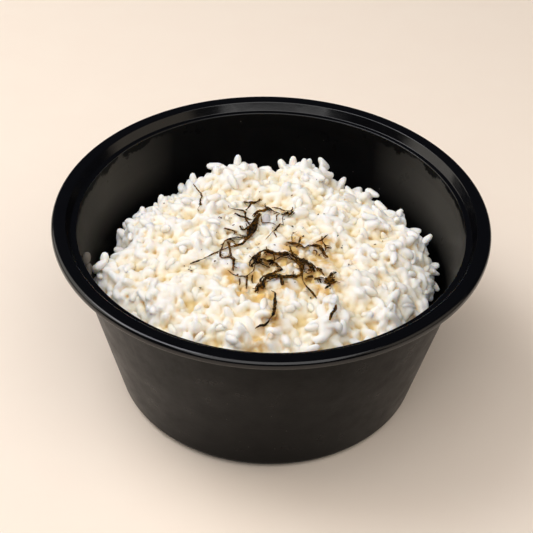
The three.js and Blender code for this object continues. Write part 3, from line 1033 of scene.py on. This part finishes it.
def note_values(mesh, name, values):
    """Stores a measure on each point of a mesh, where a material can read it."""
    mesh.attributes.new(name, "FLOAT", "POINT").data.foreach_set("value", values)


bed_hollow = read_values(bed.data, "hollow")
for piece in (loose, standing, glassy, on_wall):
    hits = [bed_faces.find_nearest(vertex.co) for vertex in piece.data.vertices]
    below = [bed.data.polygons[hit[2]].vertices[0] for hit in hits]
    rise = np.array([hit[3] for hit in hits])
    # Painted light and shade: a grain takes the bed's depth under it, and a raised grain is painted lighter.
    note_values(piece.data, "hollow", bed_hollow[below] - CREST_GAIN * rise)

# %% [markdown]
# ## Dried nori
# Nori is a sheet of pressed seaweed, roasted and cut into shreds about a millimetre wide and a quarter as
# thick. Steam from the rice crinkles and twists them, and they fray into fibres. It is nearly black where
# it is thick, and olive to amber where it is thin and lets light through, with a dull gloss. Each shred
# carries a measure of how slender it is for that.

# %% Nori material
NORI_FLECK_SIZE = 0.9
NORI_RELIEF = 0.1
SLENDER_SHARE = 0.16


def roasted_nori():
    material, tree, shader = make_material("dried_nori_roasted")
    place = add(tree, "ShaderNodeTexCoord").outputs["Object"]
    fleck = add(tree, "ShaderNodeTexNoise", {
        "Vector": place, "Scale": 1 / (NORI_FLECK_SIZE * MM), "Detail": 4.0}).outputs["Fac"]
    slender = add(tree, "ShaderNodeAttribute", attribute_name="slender").outputs["Fac"]
    light = add(tree, "ShaderNodeMath", {
        0: slender, 1: SLENDER_SHARE, 2: fleck}, operation="MULTIPLY_ADD").outputs["Value"]
    tone = add(tree, "ShaderNodeValToRGB", {"Fac": light})
    set_stops(tone, {0.4: "#090703", 0.53: "#1F1506", 0.67: "#68420B", 0.82: "#9C6A1C"})
    bump = add(tree, "ShaderNodeBump", {"Height": fleck, "Strength": 0.6, "Distance": NORI_RELIEF * MM})
    fill(tree, shader, {"Base Color": tone.outputs["Color"], "Normal": bump.outputs["Normal"],
                        "Roughness": 0.5, "Specular IOR Level": 0.08})
    return material


nori_skin = roasted_nori()
print("nori material:", nori_skin.name)

# %% [markdown]
# ## Crinkled shreds
# A shred is a ribbon that follows a path over the rice. The path is given in a list and is then laid on
# the grains: it rests on the high ones and bridges the gaps, as a stiff dry strip does. The tree adds
# what the list leaves out. Noise moves the ribbon from side to side, twists it and changes its width,
# and a flat hexagon is swept along it.

# %% Shred tree
CRINKLES_PER_METRE = 420.0
TWISTS_PER_METRE = 170.0
TEAR_SIZE = 0.8
THICK_RADIUS = 0.55
SLENDER_RADIUS = 0.15

shred_tree, shred_in = new_tree("Crinkled shreds", {
    "Step": "Float", "Crinkle": "Float", "Twist": "Float", "Flatness": "Float", "Material": "Material"})
line = add(shred_tree, "GeometryNodeCurveSplineType", {
    "Curve": shred_in["Geometry"]}, spline_type="CATMULL_ROM")
stepped = add(shred_tree, "GeometryNodeResampleCurve", {
    "Curve": line.outputs["Curve"], "Length": shred_in["Step"]}, mode="LENGTH")
at = add(shred_tree, "GeometryNodeInputPosition").outputs["Position"]
wave = add(shred_tree, "ShaderNodeTexNoise", {"Vector": at, "Scale": CRINKLES_PER_METRE, "Detail": 2.0})
centred = add(shred_tree, "ShaderNodeVectorMath", {
    0: wave.outputs["Color"], 1: (0.5, 0.5, 0.5)}, operation="SUBTRACT")
shifted = add(shred_tree, "ShaderNodeVectorMath", {
    0: centred.outputs["Vector"], "Scale": shred_in["Crinkle"]}, operation="SCALE")
crinkled = add(shred_tree, "GeometryNodeSetPosition", {
    "Geometry": stepped.outputs["Curve"], "Offset": shifted.outputs["Vector"]})
upright = add(shred_tree, "GeometryNodeSetCurveNormal", {"Curve": crinkled.outputs["Geometry"]}, mode="Z_UP")
slow = add(shred_tree, "ShaderNodeTexNoise", {"Vector": at, "Scale": TWISTS_PER_METRE, "Detail": 1.0})
turn_share = add(shred_tree, "ShaderNodeMapRange", {
    "Value": slow.outputs["Fac"], "From Min": 0.3, "From Max": 0.7, "To Min": -1.0, "To Max": 1.0})
twist = add(shred_tree, "ShaderNodeMath", {
    0: turn_share.outputs["Result"], 1: shred_in["Twist"]}, operation="MULTIPLY")
twisted = add(shred_tree, "GeometryNodeSetCurveTilt", {
    "Curve": upright.outputs["Curve"], "Tilt": twist.outputs["Value"]})
given_width = add(shred_tree, "GeometryNodeInputRadius").outputs["Radius"]
slenderness = add(shred_tree, "ShaderNodeMapRange", {
    "Value": given_width, "From Min": THICK_RADIUS * MM, "From Max": SLENDER_RADIUS * MM})
noted_width = add(shred_tree, "GeometryNodeStoreNamedAttribute", {
    "Geometry": twisted.outputs["Curve"], "Name": "slender", "Value": slenderness.outputs["Result"]},
    data_type="FLOAT", domain="POINT")
fray = add(shred_tree, "ShaderNodeTexNoise", {"Vector": at, "Scale": 1 / (TEAR_SIZE * MM), "Detail": 2.0})
uneven = add(shred_tree, "ShaderNodeMapRange", {
    "Value": fray.outputs["Fac"], "From Min": 0.3, "From Max": 0.7, "To Min": 0.65, "To Max": 1.4})
width = add(shred_tree, "ShaderNodeMath", {0: given_width, 1: uneven.outputs["Result"]}, operation="MULTIPLY")
hexagon = add(shred_tree, "GeometryNodeCurvePrimitiveCircle", {"Resolution": 6, "Radius": 1.0}, mode="RADIUS")
squash = add(shred_tree, "ShaderNodeCombineXYZ", {"X": 1.0, "Y": shred_in["Flatness"], "Z": 1.0})
section = add(shred_tree, "GeometryNodeTransform", {
    "Geometry": hexagon.outputs["Curve"], "Scale": squash.outputs["Vector"]})
swept = add(shred_tree, "GeometryNodeCurveToMesh", {
    "Curve": noted_width.outputs["Geometry"], "Profile Curve": section.outputs["Geometry"],
    "Scale": width.outputs["Value"], "Fill Caps": True})
solid = add(shred_tree, "GeometryNodeRealizeInstances", {"Geometry": swept.outputs["Mesh"]})
dressed = add(shred_tree, "GeometryNodeSetMaterial", {
    "Geometry": solid.outputs["Geometry"], "Material": shred_in["Material"]})
add(shred_tree, "NodeGroupOutput", {"Geometry": dressed.outputs["Geometry"]})
print("shred tree:", len(shred_tree.nodes), "nodes")

# %% Paths of the shreds
SHREDS = {
    # piece: CAD node, then strands of width, lift of the middle and points as x, y
    "nori_shreds_back": ("nori_back_tangle", [
        (2.0, 0.5, [(-4.6, 11.2), (-6.1, 5.2), (-7.4, 0.4), (-8.1, -2.9), (-9.8, -4.7)]),
        (1.3, 0.3, [(-8.9, -3.2), (-12.1, -4.0), (-15.7, -5.1), (-16.8, -6.4)]),
        (0.9, 0.2, [(-8.4, -3.0), (-9.9, -7.0), (-12.4, -8.3), (-14.6, -9.3)]),
        (0.75, 0.4, [(-15.9, -5.1), (-17.2, -7.4), (-17.9, -11.0), (-18.3, -14.2), (-17.1, -15.9),
                     (-14.6, -15.4), (-13.4, -16.4)]),
        (0.9, 0.3, [(-15.7, -6.0), (-14.7, -10.9), (-14.1, -14.9), (-13.2, -16.6), (-13.2, -20.5),
                    (-13.2, -23.1)]),
        (0.8, 0.2, [(-16.2, 14.3), (-13.6, 13.5), (-11.2, 12.9), (-10.0, 11.1), (-9.6, 7.8), (-8.0, 3.6)]),
        (0.8, 0.2, [(-13.8, 10.9), (-11.7, 9.3), (-9.6, 8.3), (-7.0, 7.0)]),
        (1.1, 0.3, [(-10.8, 18.3), (-9.1, 17.7), (-7.0, 17.7), (-5.6, 18.6), (-4.5, 20.1)]),
        (0.7, 0.3, [(-7.0, 18.6), (-8.3, 16.2), (-8.9, 14.3), (-9.9, 12.7)]),
        (1.0, 0.4, [(-6.7, 9.0), (-5.2, 12.3), (-3.4, 13.1), (-1.7, 14.0), (-0.3, 12.0)]),
        (0.8, 0.2, [(-3.8, 16.5), (-1.7, 15.1), (0.6, 13.1), (2.9, 11.9)]),
        (0.6, 0.2, [(0.0, 15.2), (2.9, 14.7), (4.6, 13.6), (7.3, 13.5), (7.8, 15.9)]),
        (1.5, 0.1, [(3.7, 10.9), (5.0, 11.5), (6.1, 12.6)]),
        (1.3, 0.1, [(6.1, 10.3), (6.9, 11.4), (8.2, 12.9)]),
        (0.5, 0.1, [(2.9, 11.9), (1.8, 9.9), (2.1, 7.0)]),
        (0.5, 0.1, [(-4.0, 9.0), (-3.7, 5.9), (-2.7, 5.6), (0.5, 5.6), (1.9, 3.7)]),
        (0.75, 0.2, [(3.4, 5.5), (1.7, 1.9), (0.6, 0.2)]),
        (0.4, 0.1, [(1.2, 1.0), (-0.2, -1.0), (-1.8, -4.3)]),
        (0.45, 0.1, [(1.1, 0.0), (2.0, -2.8)]),
        (0.35, 0.1, [(4.2, 10.1), (4.1, 7.0), (4.6, 4.0)]),
        (0.9, 0.1, [(-17.3, 1.4), (-15.0, 0.5), (-12.4, -0.7)]),
        (1.0, 0.1, [(-11.4, 3.2), (-10.9, 0.7), (-9.4, 1.7), (-8.0, 3.3)]),
    ]),
    "nori_shred_tail": ("nori_tail_shred", [
        (1.1, 0.2, [(-28.6, -19.8), (-25.2, -17.7), (-22.6, -15.6)]),
        (0.6, 0.2, [(-24.0, -16.7), (-21.2, -14.3), (-18.3, -12.0), (-14.8, -9.4), (-12.4, -8.3)]),
    ]),
    "nori_shreds_front": ("nori_front_tangle", [
        (1.8, 0.9, [(-6.7, -20.6), (-5.2, -15.7), (-3.6, -12.1), (-1.6, -10.8), (0.6, -11.9)]),
        (1.7, 0.7, [(-2.2, -10.8), (0.0, -11.9), (3.6, -12.5), (7.0, -12.4), (9.5, -14.5)]),
        (1.7, 0.4, [(7.6, -13.0), (9.5, -14.5), (12.3, -16.1), (14.5, -18.1), (16.1, -22.0)]),
        (0.9, 0.3, [(11.4, -15.9), (13.2, -17.4), (14.0, -19.2), (14.6, -21.0)]),
        (1.0, 0.4, [(6.8, -13.4), (7.6, -14.9), (9.5, -16.7), (11.2, -19.6), (11.5, -22.7), (10.1, -24.5),
                    (7.9, -25.0)]),
        (0.6, 0.2, [(8.6, -14.4), (10.2, -16.0), (11.9, -19.0), (11.6, -22.0)]),
        (1.9, 0.2, [(9.6, -24.7), (6.5, -25.3), (4.7, -25.4), (1.9, -24.9), (-0.6, -25.9)]),
        (1.9, 0.2, [(2.6, -25.0), (-0.4, -25.7), (-2.1, -28.3), (-2.5, -32.3)]),
        (1.1, 0.2, [(-5.8, -18.9), (-4.3, -17.8), (-2.1, -19.0), (-0.1, -20.6)]),
        (1.5, 0.3, [(-4.2, -16.9), (-2.6, -15.6), (-1.0, -16.6), (0.9, -16.7), (-0.4, -19.0)]),
        (0.9, 0.3, [(0.6, -17.2), (1.8, -17.9), (3.7, -20.1), (4.3, -21.3), (2.4, -22.7), (0.8, -24.1),
                    (0.0, -25.7)]),
        (0.6, 0.3, [(0.9, -16.5), (3.7, -14.4), (5.7, -14.6), (7.3, -13.5)]),
        (0.6, 0.2, [(0.9, -12.6), (1.5, -14.8), (1.4, -16.9)]),
        (0.65, 0.1, [(-15.1, -23.0), (-13.4, -24.8), (-11.2, -25.8), (-8.4, -25.9), (-7.1, -24.5),
                     (-5.8, -22.3), (-5.2, -18.6)]),
        (0.5, 0.1, [(11.8, -21.3), (11.5, -25.1), (12.0, -27.8)]),
        (0.6, 0.2, [(11.8, -21.3), (13.2, -20.6), (14.3, -21.0), (15.0, -22.1), (13.5, -23.1),
                    (12.4, -22.1)]),
        (0.9, 0.1, [(12.6, -26.2), (13.7, -25.2), (15.5, -24.6)]),
        (1.2, 0.1, [(16.8, -19.8), (18.7, -21.3)]),
        (0.6, 0.1, [(17.6, -20.9), (19.6, -23.9)]),
        (1.2, 0.1, [(15.9, -25.6), (17.6, -26.2), (18.3, -28.2)]),
        (0.7, 0.1, [(16.8, -26.1), (17.3, -25.2), (18.5, -25.2), (19.9, -26.0)]),
        (1.0, 0.4, [(23.6, -21.8), (22.1, -23.2), (20.8, -25.5), (19.6, -25.5)]),
        (1.8, 0.1, [(23.0, -25.9), (21.1, -27.4), (19.5, -26.8)]),
        (0.8, 0.1, [(21.6, -29.0), (19.7, -31.3)]),
        (0.6, 0.0, [(-10.5, -27.0), (-10.5, -30.9)]),
        (0.8, 0.0, [(-7.9, -25.2), (-8.0, -29.1), (-8.1, -32.4)]),
        (0.7, 0.0, [(-6.1, -25.2), (-6.2, -27.9), (-5.8, -29.7)]),
        (1.1, 0.0, [(-3.0, -29.3), (-3.8, -31.6), (-4.9, -34.7)]),
        (1.1, 0.0, [(4.1, -25.6), (4.4, -27.9), (4.7, -30.0)]),
    ]),
    "nori_shred_twig": ("nori_right_twig", [
        (1.2, 0.3, [(5.8, -5.7), (7.0, -6.1), (8.9, -6.6), (10.7, -7.3), (12.5, -8.4), (14.1, -6.9),
                    (15.3, -7.0), (17.1, -7.2), (18.3, -8.9), (19.5, -11.4), (20.7, -13.8)]),
        (0.8, 0.2, [(10.9, -2.3), (10.3, -5.1), (9.5, -8.6)]),
        (0.75, 0.3, [(18.8, -1.5), (18.9, -4.1), (19.8, -6.5), (20.1, -9.0), (19.5, -10.8)]),
        (0.6, 0.1, [(20.9, -0.5), (19.5, -2.4), (18.6, -3.7), (16.6, -5.0)]),
        (0.45, 0.1, [(19.8, -8.1), (22.1, -7.8)]),
        (0.5, 0.1, [(15.5, -9.8), (16.5, -10.1), (16.8, -11.4), (16.3, -12.8)]),
        (0.55, 0.1, [(6.9, -7.4), (7.8, -11.9), (9.4, -14.4)]),
        (0.35, 0.1, [(7.8, -4.9), (7.6, -2.5), (8.0, -0.5), (9.6, 0.7)]),
    ]),
    "nori_shred_left": ("nori_left_shred", [
        (0.6, 0.1, [(-30.6, 28.8), (-28.7, 24.9), (-26.7, 21.3), (-27.2, 18.8), (-27.2, 15.7), (-27.7, 12.5),
                    (-27.2, 11.3)]),
        (0.8, 0.0, [(-27.3, 21.9), (-26.5, 21.0)]),
        (0.8, 0.0, [(-27.5, 15.9), (-26.6, 15.2)]),
    ]),
    "nori_shred_slant": ("nori_slant_shred", [
        (0.9, 0.1, [(12.1, -28.0), (14.1, -31.8), (16.7, -36.6)]),
    ]),
    "nori_shred_front": ("nori_front_shred", [
        (1.2, 0.2, [(0.9, -33.3), (2.2, -34.7), (2.2, -39.2), (1.9, -43.6), (1.4, -46.7), (0.3, -48.0)]),
        (1.0, 0.1, [(0.9, -47.4), (-0.1, -50.2), (-1.3, -51.8), (-2.4, -51.6), (-4.3, -53.4)]),
    ]),
    "nori_shred_short": ("nori_short_shred", [
        (1.15, 0.1, [(23.4, -39.7), (23.0, -42.5), (21.9, -44.8), (21.0, -47.9)]),
    ]),
}

# %% [markdown]
# ## Laying the shreds on the rice
# The paths were drawn as the camera sees them, on a level through the top of the heap. Each point is
# moved along the line of sight until it rests on the rice, so that a path keeps its drawn shape however
# uneven the grains under it are. The shreds of the tangles fray: a wide one gets finer fibres that
# wander across it, and short hairs that stick out of it. Those that lie apart were cut clean.

# %% Sight lines and paths
DRAWN_LEVEL = 65.5
SHRED_STEP = 1.0
CLEAR = 0.3  # between the rice and the middle of a shred that rests on it
RESTING = 0.4  # how far to each side of a shred a grain can carry it
STIFFENING = 4
EYE = np.array(CAMERA_PLACE) / MM

rice_surface = surface_of(bed, loose, standing, glassy)
shred_chance = np.random.default_rng(31)


def in_sight(x, y, height):
    """The point at a height, on the line of sight through x, y on the drawn level."""
    sight = np.array((x, y, DRAWN_LEVEL)) - EYE
    return EYE + sight * (height - EYE[2]) / sight[2]


def seen_height(x, y):
    """Height of the rice where the line of sight through x, y on the drawn level meets it."""
    sight = Vector(np.array((x, y, DRAWN_LEVEL)) - EYE)
    hit = rice_surface.ray_cast(Vector(EYE) * MM, sight.normalized())[0]
    return DRAWN_LEVEL if hit is None else hit.z / MM


def even_steps(path):
    """Points about a step apart on the smooth line through a path."""
    path = np.array(path, float)
    ends = np.vstack([2 * path[0] - path[1], path, 2 * path[-1] - path[-2]])
    line = []
    for before, start, end, after in zip(ends, ends[1:], ends[2:], ends[3:]):
        count = max(1, round(float(np.linalg.norm(end - start)) / SHRED_STEP))
        for t in np.arange(count) / count:
            straight = 2 * start + (end - before) * t
            bend = (2 * before - 5 * start + 4 * end - after) * t ** 2
            swing = (3 * start - before - 3 * end + after) * t ** 3
            line.append(0.5 * (straight + bend + swing))
    line.append(path[-1])
    return np.array(line)


def laid_line(line, lift):
    """The drawn points moved in sight to their heights: on the highest grains and stiff between them."""
    around = [(0, 0), (RESTING, 0), (-RESTING, 0), (0, RESTING), (0, -RESTING)]
    resting = np.array([max(seen_height(x + dx, y + dy) for dx, dy in around) for x, y in line]) + CLEAR
    level = resting.copy()
    for _ in range(STIFFENING):
        level[1:-1] = np.maximum(resting[1:-1], (level[:-2] + level[1:-1] + level[2:]) / 3)
    level += lift * np.sin(np.linspace(0, math.pi, len(line)))
    return np.array([in_sight(x, y, height) for (x, y), height in zip(line, level)])


# %% Fibres and hairs
FRAYED_FROM = 0.9
FIBRE_SHARE = 0.42
FIBRE_OFFSET = 0.42
FIBRE_WANDER = 0.28
FIBRE_LIFT = 0.25
HAIRY_FROM = 0.75
HAIR_SPACING = 5.0
TAPER = 0.35  # below 1, a strand keeps its width further towards its ends
FRAYED = ("nori_shreds_back", "nori_shreds_front", "nori_shred_twig")


def across(line):
    """For each point of a line, a unit vector square to the line's heading."""
    heading = np.gradient(line, axis=0)
    heading /= np.maximum(np.linalg.norm(heading, axis=1), 1e-6)[:, None]
    return np.column_stack([-heading[:, 1], heading[:, 0]])


def fibres(width, lift, line):
    """Finer strands that wander from edge to edge of a wide one."""
    made = []
    if width < FRAYED_FROM or len(line) < 4:
        return made
    run = np.arange(len(line)) * SHRED_STEP
    for sign in (-1, 1):
        wander = np.sin(run / shred_chance.uniform(1.2, 2.2) + shred_chance.uniform(0, 2 * math.pi))
        offset = sign * FIBRE_OFFSET * width + FIBRE_WANDER * width * wander
        made.append((width * FIBRE_SHARE, lift + FIBRE_LIFT, line + across(line) * offset[:, None]))
    return made


def hairs(width, line):
    """Short fine hairs that leave a strand sideways."""
    made = []
    count = int(len(line) * SHRED_STEP / HAIR_SPACING) if width >= HAIRY_FROM else 0
    for _ in range(count):
        root = shred_chance.integers(0, len(line))
        lean = shred_chance.uniform(-0.9, 0.9)
        side = across(line)[root] * shred_chance.choice((-1, 1))
        along = np.array((side[1], -side[0]))
        length = shred_chance.uniform(0.8, 1.9) + width / 2
        tip = line[root] + (side + along * lean) * length
        bow = (line[root] + tip) / 2 + along * shred_chance.uniform(-0.3, 0.3)
        breadth = shred_chance.uniform(0.28, 0.45)
        made.append((breadth, shred_chance.uniform(0, 0.4), np.array([line[root], bow, tip])))
    return made


# %% Growing the shreds
def shred_curve(name, strands):
    """One curve with a line for each strand, fibre and hair, its radius tapered to both ends."""
    curve = bpy.data.curves.new(name, "CURVE")
    curve.dimensions = "3D"
    for width, lift, path in strands:
        line = even_steps(path)
        courses = [(width, lift, line)]
        if name in FRAYED:
            courses += [*fibres(width, lift, line), *hairs(width, line)]
        for breadth, rise, course in courses:
            laid = laid_line(course, rise)
            spline = curve.splines.new("POLY")
            spline.points.add(len(laid) - 1)
            for index, point in enumerate(laid):
                taper = math.sin(math.pi * (index + 0.5) / len(laid)) ** TAPER
                spline.points[index].co = (*(point * MM), 1)
                spline.points[index].radius = breadth / 2 * taper * MM
    return curve


nori = []
for name, (node, strands) in SHREDS.items():
    piece = grow(name, shred_curve(name, strands), shred_tree, {
        "Step": 0.4 * MM, "Crinkle": 0.8 * MM, "Twist": 0.7, "Flatness": 0.25, "Material": nori_skin})
    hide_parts(node)
    nori.append(piece)

# %% [markdown]
# ## Crumbs of nori
# Cutting leaves crumbs. They are tiny torn flakes, bent and lying at any turn on the grains, thickest
# near the shreds.

# %% Crumbs
CRUMBS = 70
CRUMB_MIDDLE = (1, -6)
CRUMB_SPREAD = 17.0
CRUMB_REACH = (0.18, 0.5)
CRUMB_CORNERS = 6
CRUMB_THICKNESS = 0.15
CRUMB_CURL = 0.2


def nori_crumbs(name):
    chance = np.random.default_rng(41)
    form = bmesh.new()
    for _ in range(CRUMBS):
        x, y = chance.normal(CRUMB_MIDDLE, CRUMB_SPREAD, 2)
        size = chance.uniform(*CRUMB_REACH)
        angles = np.sort(chance.uniform(0, 2 * math.pi, CRUMB_CORNERS))
        reach = size * chance.uniform(0.6, 1.3, CRUMB_CORNERS)
        turn = Euler(chance.uniform(-0.5, 0.5, 3)).to_matrix()
        middle = Vector(in_sight(x, y, seen_height(x, y) + CRUMB_THICKNESS)) * MM
        sides = []
        for level in (-CRUMB_THICKNESS / 2, CRUMB_THICKNESS / 2):
            rim = [Vector((r * math.cos(a), r * math.sin(a), level + CRUMB_CURL * r * r))
                   for a, r in zip(angles, reach)]
            sides.append([form.verts.new(middle + turn @ point * MM) for point in rim])
        lower, upper = sides
        form.faces.new(reversed(lower))
        form.faces.new(upper)
        for side in range(CRUMB_CORNERS):
            following = (side + 1) % CRUMB_CORNERS
            form.faces.new((lower[side], lower[following], upper[following], upper[side]))
    bmesh.ops.recalc_face_normals(form, faces=form.faces)
    mesh = mesh_of(form, name)
    mesh.materials.append(nori_skin)
    return new_object(name, mesh)


nori.append(nori_crumbs("nori_crumbs"))
print("crumbs:", CRUMBS)

# %% [markdown]
# ## Amber stains
# Where seaweed lies on wet rice, it gives off colour. Every point of the rice notes how near it is to
# the shreds of the front tangle, the twig and the front shred, and the rice material reads that.

# %% Stain
STAIN_REACH = 2.7
STAINING = ("nori_shreds_front", "nori_shred_twig", "nori_shred_front")

stained = 0
paths = [path for name in STAINING for _, _, path in SHREDS[name][1]]
steps = np.concatenate([even_steps(path) for path in paths])
shred_points = np.array([in_sight(x, y, DRAWN_LEVEL) for x, y in steps])
for piece in (bed, loose, standing, glassy, on_wall):
    points = corners(piece.data) / MM
    nearest = np.full(len(points), np.inf)
    for x, y, _ in shred_points:
        nearest = np.minimum(nearest, (points[:, 0] - x) ** 2 + (points[:, 1] - y) ** 2)
    stain = np.exp(-nearest / STAIN_REACH ** 2)
    note_values(piece.data, "stain", stain)
    stained += int((stain > 0.5).sum())
print("stained points:", stained)

# %% [markdown]
# ## Which piece is what
# Nothing on a bowl of rice moves on its own, so every piece rides on the one body. The shell stands for
# the CAD bowl and the core for the CAD heap, and each shred has taken the place of its own CAD node above.

# %% Ride and replace
rice = (core, bed, loose, standing, glassy, on_wall)
for piece in (bowl, *rice, *nori):
    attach(piece, "root")
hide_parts("bowl")
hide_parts("rice")
